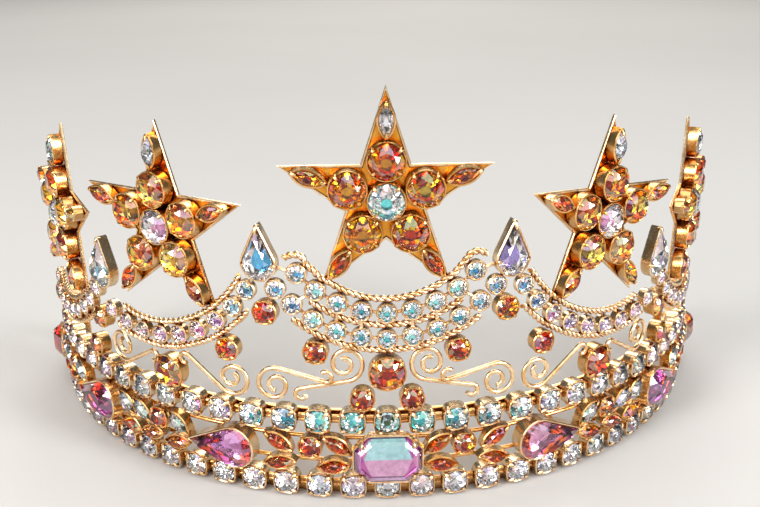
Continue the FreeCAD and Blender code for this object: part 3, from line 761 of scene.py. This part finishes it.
def chain(name, dice):
    """One row of round stones in square-cornered cups with four claws, and the links between."""
    cups, stones = Piece(SETTING), Piece(STONE)
    tints = chain_tints if name == "upper" else lower_tints
    for cup, stone in pair(f"{name}_chain_cups", f"{name}_chain_stones"):
        outline = box_outline(cup.half_long, cup.half_wide, count=40)
        thick = cup.half_long - cup.bore()
        inside = [corner * (1 - thick / cup.half_long) for corner in outline]
        add_cup(cups, cup, inside, thick, HIGHLIGHT_NUMBER)
        add_claws(cups, cup, inside, CLAW_CORNERS, HIGHLIGHT_NUMBER, size=0.95 * MM, reach=0.75)
        outline = round_outline(stone.half_long, stone.half_wide, STONE_CORNERS)
        add_stone(stones, stone, outline, tints(stone.azimuth), dice)
    cups.finish(f"{name}_chain_settings", f"{name}_chain_cups", "gold")
    stones.finish(f"{name}_chain_gems", f"{name}_chain_stones", "crystal", sharp=1)
    links = Piece([GOLD])
    for solid in solids(f"{name}_chain_links"):
        add_link(links, solid)
    links.finish(f"{name}_chain_bars", f"{name}_chain_links", "gold")


def add_link(piece, solid):
    """Two rounded ridges side by side, with a low web between them."""
    radius = 0.44 * solid.half_wide
    for side, wide, lift in LINK_RIDGES:
        path = []
        for share in LINK_STATIONS:
            height = solid.depth * lift * (1 + 0.15 * share * share)
            path.append(Vector((share * solid.half_long, side * 0.56 * solid.half_wide, height)))
        corners, faces = sweep(path, [radius * wide] * len(path), sides=10)
        piece.add(solid.place, corners, faces)


def round_settings(cup_node, stone_node, tints, dice, claw, number):
    """Round stones in turned cups."""
    cups, stones = Piece(SETTING), Piece(STONE)
    for cup, stone in pair(cup_node, stone_node):
        thick = cup.half_long - cup.bore()
        inside = round_outline(cup.half_long - thick, cup.half_wide - thick, count=36)
        add_cup(cups, cup, inside, thick, number)
        add_claws(cups, cup, inside, CLAW_CORNERS, number, size=claw, reach=0.6)
        outline = round_outline(stone.half_long, stone.half_wide, STONE_CORNERS)
        add_stone(stones, stone, outline, tints(stone.azimuth), dice)
    return cups, stones


# Warm stones' back facets mix bright yellow and dark red tints: painted flashes and painted dark
# reflections.
def warm_tints(azimuth):
    return GARNET, FIRE[:3] + EMBER + GARNET[:2], AMBER


def star_tints(azimuth):
    return OLIVE + GARNET, FIRE + FIRE[:2] + EMBER[:3] + GARNET[:1], AMBER


# Star middles aqua in front and rose at the sides: painted reflection of the coating at each angle.
def middle_tints(azimuth):
    return (AQUA if abs(azimuth) < 15 else ROSE), SILVER, CLEAR + PINK[:1]


def rounds(dice):
    """Every round stone away from the chains and swags, with the size of its claws."""
    rows = (
        ("gallery_round", "topaz", warm_tints, 0.8),
        ("drop_round", "topaz", warm_tints, 0.8),
        ("connector", "topaz", warm_tints, 0.8),
        ("large_connector", "topaz", warm_tints, 0.9),
        ("star_round", "topaz", star_tints, 0.75),
        ("star_middle", "crystal", middle_tints, 0.75),
    )
    for name, slot, tints, claw in rows:
        nodes = f"{name}_cups", f"{name}_stones"
        cups, stones = round_settings(*nodes, tints, dice, claw * MM, GOLD_NUMBER)
        cups.finish(f"{name}_settings", nodes[0], "gold")
        stones.finish(f"{name}_gems", nodes[1], slot, sharp=1)


def swag_rows(dice):
    """Small round stones between the ropes, with short bars to each other."""
    for name in ("centre_swag", "side_swag"):
        nodes = f"{name}_cups", f"{name}_stones"
        cups, stones = round_settings(*nodes, swag_tints, dice, 0.55 * MM, HIGHLIGHT_NUMBER)
        add_bars(cups, solids(nodes[0]))
        cups.finish(f"{name}_settings", nodes[0], "gold")
        stones.finish(f"{name}_gems", nodes[1], "crystal", sharp=1)


def add_bar(piece, cup, middle, radius, other):
    """A short bar, thinner at its middle, from a round wall about a cup's middle to another cup."""
    gap = other.centre - middle
    out = (cup.place.col[2] + other.place.col[2]).to_3d().normalized()
    lift = BAR_LIFT * other.depth * out
    start = middle + (radius - BAR_HOLD) * gap.normalized() + lift
    end = other.centre - (other.half_long - BAR_HOLD) * gap.normalized() + lift
    path = [start.lerp(end, share) for share, _ in BAR_RADII]
    corners, faces = sweep(path, [half for _, half in BAR_RADII])
    piece.add(Matrix.Identity(4), corners, faces, HIGHLIGHT_NUMBER)


def add_bars(piece, cups):
    """Bars between all small cups that stand next to each other in a row."""
    for number, cup in enumerate(cups):
        for other in cups[number + 1 :]:
            if (other.centre - cup.centre).length < SWAG_NEIGHBOUR:
                add_bar(piece, cup, cup.centre, cup.half_long, other)


def add_pear_bars(piece, pear, cups):
    """Bars from the round end of an upright pear to the small cups under it."""
    middle = pear.centre - (pear.half_long - pear.half_wide) * pear.place.col[0].to_3d()
    for cup in cups:
        if (cup.centre - middle).length < pear.half_wide + cup.half_long + PEAR_NEIGHBOUR:
            add_bar(piece, pear, middle, pear.half_wide, cup)


def long_cup(piece, solid, shape, claws, size, number):
    """The cup of a pear or navette, its wall thicker at the tips, with claws if it has any."""
    inside = shape(solid.half_long - TIP_SHARE * WALL, solid.half_wide - WALL, count=40)
    add_cup(piece, solid, inside, WALL, number)
    add_claws(piece, solid, inside, claws, number, size, reach=0.55)


def pears(dice):
    """The large pears of the gallery, lying down, and the upright ones on the peaks."""
    rows = (
        ("gallery_pear", "rose", (PETAL, EMBER[:3] + PETAL, PINK), 24, ()),
        ("peak_pear", "crystal", (BLUE, SILVER + BLUSH[4:], CLEAR), 20, (0, 125, 235)),
    )
    small_cups = solids("centre_swag_cups") + solids("side_swag_cups")
    for name, slot, tints, count, claws in rows:
        cups, stones = Piece(SETTING), Piece(STONE)
        for cup in solids(f"{name}_cups", level=False):
            long_cup(cups, cup, pear_outline, claws, 0.8 * MM, HIGHLIGHT_NUMBER)
            if name == "peak_pear":
                add_pear_bars(cups, cup, small_cups)
        for stone in solids(f"{name}_stones", level=False):
            own = tints
            # Right-hand peak pears get a lilac middle and left ones blue: painted reflection of the
            # coating at their angle.
            if name == "peak_pear" and stone.azimuth > 0:
                own = (LILAC, *tints[1:])
            outline = pear_outline(stone.half_long, stone.half_wide, count)
            add_stone(stones, stone, outline, own, dice, table=0.6, flat=0.48)
        cups.finish(f"{name}_settings", f"{name}_cups", "gold")
        stones.finish(f"{name}_gems", f"{name}_stones", slot, sharp=1)


def leaves(dice):
    """Navettes: in fans between the chains and in the points of the stars, where the top one is
    clear."""
    for node in ("gallery_leaf_cups", "star_leaf_cups"):
        cups = Piece(SETTING)
        for cup in solids(node, level=False):
            long_cup(cups, cup, navette_outline, (0, 180), 0.75 * MM, GOLD_NUMBER)
        cups.finish(node.replace("cups", "settings"), node, "gold")
    # The amber leaves' back facets mix bright and dark tints: painted flashes and painted dark
    # reflections.
    for node, slot, tints in (
        ("amber_leaf_stones", "topaz", (EMBER, EMBER + FIRE[2:4], AMBER)),
        ("clear_leaf_stones", "crystal", (AQUA + LILAC, SILVER, CLEAR)),
        ("star_leaf_stones", "topaz", (EMBER + GARNET, FIRE + EMBER, AMBER)),
    ):
        stones = Piece(STONE)
        for stone in solids(node, level=False):
            outline = navette_outline(stone.half_long, stone.half_wide, STONE_CORNERS)
            upright = abs(stone.place.col[0].z) > UPRIGHT
            own = (AQUA[3:] + CLEAR, SILVER, CLEAR) if node == "star_leaf_stones" and upright else tints
            add_stone(stones, stone, outline, own, dice, table=0.6)
        stones.finish(node.replace("stones", "gems"), node, slot, sharp=1)


# ---------------------------------------------------------------- the step-cut stone

OCTAGON_CUT = 0.54
# Each step's share of the outline, and how far it lies up the front or down the back.
STEP_FRONT = ((1.0, 0.0), (0.88, 0.6), (0.74, 1.0))
STEP_BACK = ((0.98, 0.0), (0.88, 0.14))
STEP_BACK_FOOT = 0.76
STEP_BACK_SLOPE = 0.5
STEP_BACK_TILT = 0.75
STEP_GIRDLE = 0.15 * MM
STEP_LEDGE = 0.63
KEEL_REACH, KEEL_RISE = 0.72, 0.68
COATED_EDGES = (3, 4, 6, 7)
RIGHT_EDGES = (0, 6, 7)
UPPER_STEP = [(0.46, 1.0, 0.96), (0.58, 1.0, 1.0)]
LOWER_STEP = [(0.82, 0.54, 0.88), (0.92, 0.52, 0.74), (0.76, 0.44, 0.84)]
END_STEP = [(0.78, 0.2, 0.55), (0.62, 0.12, 0.5), (0.85, 0.35, 0.6)]


def step_stone(dice):
    """The octagon at the centre front: steps parallel to its edges, and a keel along its back."""
    solid = solids("octagon_stone")[0]
    rim, top = solid.rim(), solid.depth
    outline = octagon_outline(solid.half_long, solid.half_wide, OCTAGON_CUT * solid.half_wide)
    corners, faces, numbers, tints = [], [], [], []
    for share, rise in STEP_FRONT:
        corners += [(inset(c, solid, share), rim + rise * (top - rim)) for c in outline]
    for share, drop in STEP_BACK:
        corners += [(inset(c, solid, share), rim - STEP_GIRDLE - drop * rim) for c in outline]
    feet = [inset(c, solid, STEP_BACK_FOOT) for c in outline]
    highest = max(foot.y for foot in feet)
    for foot in feet:
        corners.append((foot, STEP_BACK_SLOPE * rim * (1 - foot.y / highest) * STEP_BACK_TILT))
    corners = [(place.x, place.y, height) for place, height in corners]
    keel = len(corners)
    reach = KEEL_REACH * solid.half_long
    corners += [(reach * side, 0.0, KEEL_RISE * STEP_BACK_SLOPE * rim) for side in (1, -1)]
    count = len(outline)
    levels = len(STEP_FRONT)
    faces.append([(levels - 1) * count + index for index in range(count)])
    numbers.append(BARE_NUMBER)
    tints.append(CLEAR[1])
    for level in range(levels - 1):
        for index in range(count):
            faces.append(band_face(level * count, count, index))
            film = FILM_NUMBERS[(level + index) % len(FILMS)]
            numbers.append(film if index in COATED_EDGES else BARE_NUMBER)
            tints.append(dice.choice(CLEAR + PINK[2:]))
    backs = []
    for level in range(levels, 2 * levels - 1):
        backs += [band_face(level * count, count, index)[::-1] for index in range(count)]
    backs += [band_face(0, count, index, below=levels * count)[::-1] for index in range(count)]
    last = (2 * levels - 1) * count
    long_edges = {1: [keel, keel + 1], 5: [keel + 1, keel]}
    for index in range(count):
        near = [last + (index + 1) % count, last + index]
        point = keel if index in RIGHT_EDGES else keel + 1
        backs.append(near + long_edges.get(index, [point]))
    faces += backs
    numbers += [FOIL_NUMBER] * len(backs)
    tints += [step_tint(number % count, dice) for number in range(len(backs))]
    piece = Piece(STONE)
    piece.add(solid.place, corners, faces, numbers, tints, smooth=False)
    piece.finish("octagon_gem", "octagon_stone", "crystal", sharp=1)


def inset(corner, solid, share):
    """A corner moved inwards so that all edges keep the same distance from the outline."""
    gap = (1 - share) * solid.half_wide
    return Vector((corner.x * (1 - gap / solid.half_long), corner.y * (1 - gap / solid.half_wide)))


def band_face(base, count, index, below=None):
    """A face between the ring of corners from base on and the next ring, or the one at below."""
    following = (index + 1) % count
    other = base + count if below is None else below
    return [base + index, base + following, other + following, other + index]


def step_tint(index, dice):
    """Edges 0 to 2 run over the top from the right, 3 is the left end, 4 to 6 the foot and 7 the
    right end; 1 and 5 are the long ones."""
    if index == 1:
        return dice.choice(UPPER_STEP)
    return dice.choice(LOWER_STEP if index == 5 else END_STEP)


def step_cup():
    """The stepped cup of the octagon, with a flat claw at each cut corner."""
    solid = solids("octagon_cup")[0]
    cut = OCTAGON_CUT * solid.half_wide
    inside = octagon_outline(solid.half_long - WALL, solid.half_wide - WALL, cut)
    high, low = solid.depth, STEP_LEDGE * solid.depth
    profile = [(-1.3 * MM, 0.0), (-1.0 * MM, 0.1 * MM), (-1.0 * MM, low), (0.1 * MM, low)]
    profile += [(WALL, low + 0.15 * MM), (WALL, high - 0.2 * MM), (0.75 * WALL, high)]
    profile += [(0.2 * WALL, high + 0.03 * MM), (-0.1 * MM, high - 0.1 * MM)]
    profile += [(-0.1 * MM, low + 0.3 * MM)]
    cups = Piece([HIGHLIGHT_GOLD])
    corners, faces = wall(inside, profile)
    cups.add(solid.place, corners, faces)
    for index in (0, 2, 4, 6):
        middle = (inside[index] + inside[(index + 1) % len(inside)]) / 2
        out = Vector((math.copysign(1, middle.x), math.copysign(1, middle.y))).normalized()
        add_claw(cups, solid, middle, out, size=1.5 * MM, reach=0.5)
    cups.finish("octagon_setting", "octagon_cup", "gold", sharp=30)


# ---------------------------------------------------------------- wires and plates

ROPE_RADIUS = 0.62 * MM
ROPE_PITCH = 2.5 * MM
STRAND_RADIUS, STRAND_OFFSET = 0.62 * ROPE_RADIUS, 0.45 * ROPE_RADIUS
LINE_SPACING, ROPE_SPACING = 1.6 * MM, 0.22 * MM
PLATE_EDGE = 0.42 * MM
STAR_CORNER_GAP = 0.5 * MM


def ropes():
    """Rope wire: two strands wound about each CAD wire's middle line, in the painted-highlight gold."""
    for node in (
        "centre_swag_top_rope",
        "centre_swag_middle_rope",
        "centre_swag_bottom_rope",
        "side_swag_top_ropes",
        "side_swag_bottom_ropes",
        "far_swag_top_ropes",
        "far_swag_bottom_ropes",
    ):
        piece = Piece([HIGHLIGHT_GOLD])
        for solid in solids(node, radial=True):
            path = smooth_path(centre_line(solid, LINE_SPACING), ROPE_SPACING)
            for phase in (0, math.pi):
                line = strand(path, STRAND_OFFSET, ROPE_PITCH, phase)
                corners, faces = sweep(line, [STRAND_RADIUS] * len(line))
                piece.add(Matrix.Identity(4), corners, faces)
        piece.finish(f"{node}_strands", node, "gold", sharp=60)


def plates():
    """Star plates: flat faces with a raised, rounded edge all round in the painted-highlight gold."""
    for name in ("centre", "left", "right", "far_left", "far_right"):
        node = f"{name}_star_plate"
        piece = Piece([STAR_GOLD, HIGHLIGHT_GOLD])
        solid = solids(node)[0]
        outline = star_outline(solid)
        profile = [(-0.2 * MM, 0.0), (0.0, 0.12 * MM), (0.0, solid.depth - 0.1 * MM)]
        profile += [(-0.1 * MM, solid.depth + 0.08 * MM), (-PLATE_EDGE, solid.depth + 0.1 * MM)]
        profile += [(-PLATE_EDGE - 0.16 * MM, solid.depth - 0.08 * MM)]
        corners, faces = wall(outline, profile)
        count = len(outline)
        last = (len(profile) - 1) * count
        faces.append([last + index for index in range(count)])
        numbers = [GOLD_NUMBER] + [HIGHLIGHT_NUMBER] * (len(faces) - 2) + [GOLD_NUMBER]
        piece.add(solid.place, corners, faces, numbers)
        piece.finish(f"{name}_star_sheet", node, "gold", sharp=30)


def star_outline(solid):
    """The ten corners of a star plate, counter-clockwise, from the CAD solid's own corners."""
    flat = [Vector((x, y)) for x, y, z in solid.points if z < SLIVER]
    corners = []
    for corner in flat:
        if all((corner - other).length > STAR_CORNER_GAP for other in corners):
            corners.append(corner)
    middle = sum(corners, Vector((0, 0))) / len(corners)
    return sorted(corners, key=lambda corner: math.atan2(corner.y - middle.y, corner.x - middle.x))


def bands_and_wires():
    """Pieces that keep the CAD solid's own shape."""
    for name in ("lower", "upper"):
        carried(f"{name}_band_strip", f"{name}_strip", GOLD, bevel=0.12 * MM)
        carried(f"{name}_bearer_wire", f"{name}_wire", GOLD, bevel=0)
    for name in ("outer", "inner", "side", "rear"):
        # Scrolls are in the paler gold: a painted highlight.
        carried(f"{name}_scrolls", f"{name}_scroll_wires", HIGHLIGHT_GOLD, bevel=0)
    carried("end_posts", "end_bars", GOLD, bevel=0.2 * MM)
    carried("end_eyes", "end_rings", GOLD, bevel=0.15 * MM)


# ---------------------------------------------------------------- camera, floor and light

CAMERA_PLACE = Vector((-0.0066, -0.2248, 0.1018))
CAMERA_YAW, CAMERA_PITCH, CAMERA_ROLL = 2.08, 19.53, -0.39
CAMERA_LENS = 44.95
SEED = 7


def camera():
    """The camera stands in front of the crown and a little above it, looking down."""
    yaw, pitch, roll = (math.radians(a) for a in (CAMERA_YAW, CAMERA_PITCH, CAMERA_ROLL))
    level = math.cos(pitch)
    forward = Vector((math.sin(yaw) * level, math.cos(yaw) * level, -math.sin(pitch)))
    right = forward.cross(UP).normalized()
    up = right.cross(forward)
    side = math.cos(roll) * right + math.sin(roll) * up
    top = math.cos(roll) * up - math.sin(roll) * right
    data = bpy.data.cameras.new("camera")
    data.lens = CAMERA_LENS
    data.sensor_width = 36
    data.clip_start = 0.01
    data.clip_end = 20
    eye = bpy.data.objects.new("camera", data)
    turn = Matrix((side, top, -forward)).transposed()
    eye.matrix_world = Matrix.Translation(CAMERA_PLACE) @ turn.to_4x4()
    bpy.context.scene.collection.objects.link(eye)
    bpy.context.scene.camera = eye


def floor():
    """A plain pale floor under the crown."""
    low = cad_box[0][2]
    half = 6.0
    mesh = bpy.data.meshes.new("floor")
    corners = [(-half, -half, low), (half, -half, low), (half, half, low), (-half, half, low)]
    mesh.from_pydata(corners, [], [(0, 1, 2, 3)])
    tree = Tree("floor_paper")
    tree.colour(
        tree.ramp(tree.noise(FLOOR_WAVES), [(0.3, (0.49, 0.48, 0.465)), (0.7, (0.52, 0.51, 0.495))])
    )
    tree.set(Roughness=0.9, Specular_IOR_Level=0.1)
    mesh.materials.append(tree.material)
    piece = bpy.data.objects.new("floor", mesh)
    bpy.context.scene.collection.objects.link(piece)


def softbox(name, place, aim, size, power, colour):
    data = bpy.data.lights.new(name, "AREA")
    data.shape = "RECTANGLE"
    data.size, data.size_y = size
    data.energy = power
    data.color = colour
    light = bpy.data.objects.new(name, data)
    light.location = place
    light.rotation_euler = (Vector(aim) - Vector(place)).to_track_quat("-Z", "Y").to_euler()
    bpy.context.scene.collection.objects.link(light)


def studio():
    """Soft boxes all round and a dim surround."""
    middle = (0.0, 0.0, 0.03)
    softbox("front_light", (0.0, -1.2, 1.2), middle, (3.2, 1.5), 27.0, (1.0, 0.98, 0.96))
    softbox("top_light", (0.0, 0.5, 1.6), middle, (1.8, 1.2), 14.0, (1.0, 0.98, 0.95))
    softbox("left_light", (-0.6, -0.6, 0.4), middle, (0.3, 0.5), 8.0, (1.0, 0.98, 0.96))
    softbox("right_light", (0.65, -0.5, 0.35), middle, (0.22, 0.5), 7.0, (0.95, 0.98, 1.0))
    softbox("back_light", (0.1, 1.2, 0.7), middle, (0.8, 0.4), 6.0, (1.0, 0.96, 0.9))
    world = bpy.data.worlds.new("studio")
    world.use_nodes = True
    background = world.node_tree.nodes["Background"]
    background.inputs["Color"].default_value = (0.5, 0.52, 0.55, 1.0)
    background.inputs["Strength"].default_value = 0.22
    bpy.context.scene.world = world
    bpy.context.scene.view_settings.view_transform = "Standard"


camera()
floor()
studio()
random_source = random.Random(SEED)
chain("lower", random_source)
chain("upper", random_source)
rounds(random_source)
swag_rows(random_source)
pears(random_source)
leaves(random_source)
step_stone(random_source)
step_cup()
ropes()
plates()
bands_and_wires()
